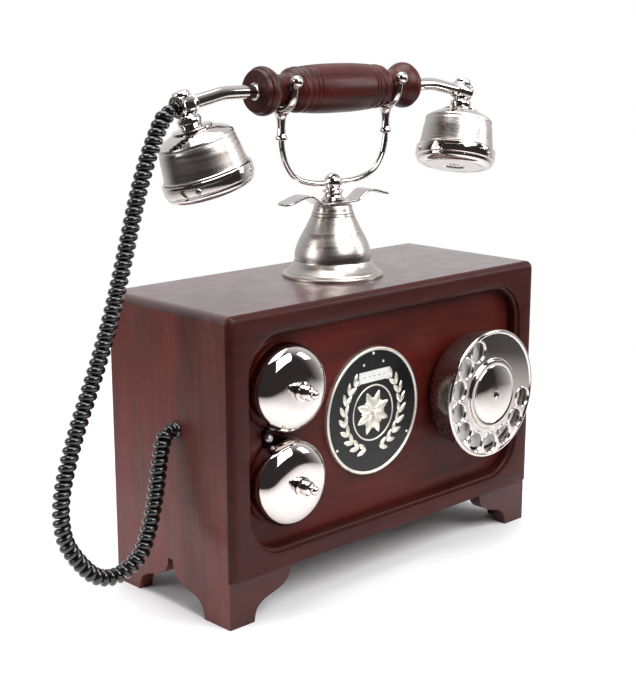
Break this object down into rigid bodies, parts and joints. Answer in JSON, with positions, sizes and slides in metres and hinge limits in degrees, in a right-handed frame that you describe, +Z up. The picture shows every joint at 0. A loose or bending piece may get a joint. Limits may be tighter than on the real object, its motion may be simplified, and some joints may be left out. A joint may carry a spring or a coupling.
{
  "type": "vintage telephone",
  "caption": "Wooden cabinet telephone with round gongs and a rotary dial on its front, and a metal cradle on a turned pedestal that carries a handset with hanging cups.",
  "frame": {"origin": "middle of the footprint on the floor, cord left out", "axes": "+X to the right seen from the front, -Y to the front, +Z up"},
  "size_m": [0.3353, 0.1252, 0.2972],
  "materials": {
    "wood": "satin lacquered mahogany",
    "polished_nickel": "polished nickel",
    "brushed_nickel": "brushed nickel",
    "plate_metal": "satin silvery plate",
    "black_enamel": "black enamel",
    "black_cord": "glossy black",
    "steel": "plain steel",
    "brass": "plain brass",
    "copper": "enamelled wire",
    "board": "green laminate"
  },
  "bodies": {
    "cabinet": {"back_foot_left": "wood", "back_foot_right": "wood", "back_panel": "wood", "bottom_panel": "wood", "circuit_board": "board", "cord_gland": "black_cord", "curly_cord": "black_cord", "dial_back_plate": "steel", "dial_case": "polished_nickel", "dial_stop": "steel", "emblem_plate": "black_enamel", "emblem_rim": "plate_metal", "front_foot_left": "wood", "front_foot_right": "wood", "front_frame": "wood", "front_panel": "wood", "gong_lower": "polished_nickel", "gong_nut_lower": "polished_nickel", "gong_nut_upper": "polished_nickel", "gong_post_lower": "steel", "gong_post_upper": "steel", "gong_upper": "polished_nickel", "hook_switch": "black_enamel", "line_jack": "plate_metal", "number_plate": "plate_metal", "pedestal": "brushed_nickel", "return_spring": "steel", "ringer_bracket": "steel", "ringer_coil_1": "copper", "ringer_coil_2": "copper", "side_panel_left": "wood", "side_panel_right": "wood", "top_panel": "wood"},
    "handset": {"handle_grip": "wood", "arm_left": "polished_nickel", "arm_right": "polished_nickel", "knuckle_left": "polished_nickel", "knuckle_right": "polished_nickel", "cup_left": "brushed_nickel", "cup_right": "brushed_nickel", "cup_cap_left": "polished_nickel", "cup_cap_right": "polished_nickel", "capsule_left": "black_enamel", "capsule_right": "black_enamel", "strain_relief": "black_cord"},
    "cradle": {"hook_lever": "brushed_nickel", "plunger_rod": "steel", "yoke_ball": "polished_nickel", "yoke_rod": "polished_nickel", "fork_left": "polished_nickel", "fork_right": "polished_nickel"},
    "dial_wheel": {"finger_wheel": "polished_nickel", "wheel_cap": "polished_nickel", "dial_shaft": "steel", "dial_gear": "brass"},
    "governor": {"governor": "brass"},
    "hammer": {"hammer": "steel"}
  },
  "joints": [
    {"name": "handset_lift", "type": "slide", "parent": "cabinet", "child": "handset", "axis": [0, 0, 1], "range_m": [0, 0.09], "deforming": ["curly_cord"]},
    {"name": "cradle_rise", "type": "slide", "parent": "cabinet", "child": "cradle", "axis": [0, 0, 1], "range_m": [0, 0.0046], "stiffness_N_per_m": 300, "springref_m": 0.01},
    {"name": "dial_turn", "type": "hinge", "parent": "cabinet", "child": "dial_wheel", "pos_m": [0.0675, -0.0564, 0.1002], "axis": [0, 1, 0], "range_deg": [0, 320], "stiffness_Nm_per_rad": 0.01, "springref_deg": -17.19},
    {"name": "governor_spin", "type": "hinge", "parent": "cabinet", "child": "governor", "pos_m": [0.0675, -0.0464, 0.0837], "axis": [0, 1, 0], "range_deg": [-1310, 10]},
    {"name": "hammer_swing", "type": "hinge", "parent": "cabinet", "child": "hammer", "pos_m": [-0.07, -0.0252, 0.10195], "axis": [0, 1, 0], "range_deg": [-3, 3]}
  ],
  "couplings": [
    {"joint": "cradle_rise", "follows": "handset_lift", "ratio": 0.05},
    {"joint": "governor_spin", "follows": "dial_turn", "ratio": -4.0625}
  ]
}
